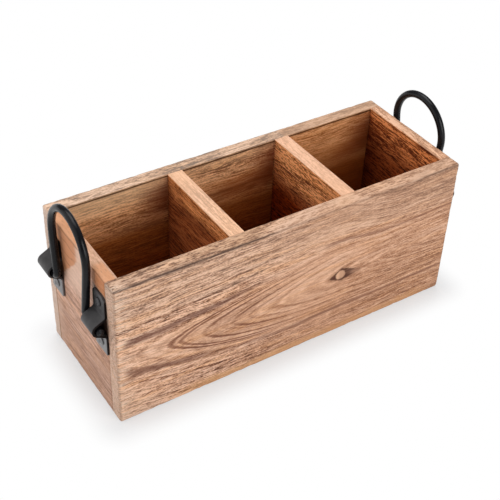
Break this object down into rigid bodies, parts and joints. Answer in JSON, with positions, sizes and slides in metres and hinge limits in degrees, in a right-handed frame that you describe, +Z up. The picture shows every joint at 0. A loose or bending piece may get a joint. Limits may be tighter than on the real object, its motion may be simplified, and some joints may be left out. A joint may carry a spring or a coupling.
{
  "type": "utensil caddy",
  "caption": "Open-topped wooden utensil caddy with dividers, and black iron bail handles that swing in strap brackets on its end panels.",
  "frame": {"origin": "middle of the underside, on the surface the caddy stands on", "axes": "+X along the caddy from left to right, the front panel faces -Y, +Z up"},
  "size_m": [0.3288, 0.114, 0.1596],
  "materials": {
    "panel_wood": "oiled brown hardwood with dark streaks and open pores",
    "divider_wood": "oiled brown hardwood, pale sawn top edge",
    "base_wood": "oiled dark brown hardwood",
    "dowel_wood": "plain pale hardwood pegs",
    "handle_iron": "satin black coated iron rod",
    "bracket_iron": "satin black coated iron strap",
    "screw_steel": "satin black screw"
  },
  "bodies": {
    "box": {"front_panel": "panel_wood", "back_panel": "panel_wood", "left_end_panel": "panel_wood", "right_end_panel": "panel_wood", "left_divider": "divider_wood", "right_divider": "divider_wood", "base_board": "base_wood", "front_left_corner_dowels": "dowel_wood", "front_right_corner_dowels": "dowel_wood", "back_left_corner_dowels": "dowel_wood", "back_right_corner_dowels": "dowel_wood", "left_divider_dowels": "dowel_wood", "right_divider_dowels": "dowel_wood", "base_front_dowels": "dowel_wood", "base_back_dowels": "dowel_wood", "left_front_bracket": "bracket_iron", "left_back_bracket": "bracket_iron", "right_front_bracket": "bracket_iron", "right_back_bracket": "bracket_iron", "left_front_bracket_screws": "screw_steel", "left_back_bracket_screws": "screw_steel", "right_front_bracket_screws": "screw_steel", "right_back_bracket_screws": "screw_steel"},
    "left_bail": {"left_handle": "handle_iron"},
    "right_bail": {"right_handle": "handle_iron"}
  },
  "joints": [
    {"name": "left_handle_swing", "type": "hinge", "parent": "box", "child": "left_bail", "pos_m": [-0.1586, 0, 0.0855], "axis": [0, -1, 0], "range_deg": [-2.2, 184]},
    {"name": "right_handle_swing", "type": "hinge", "parent": "box", "child": "right_bail", "pos_m": [0.1586, 0, 0.0855], "axis": [0, 1, 0], "range_deg": [-2.2, 184]}
  ]
}
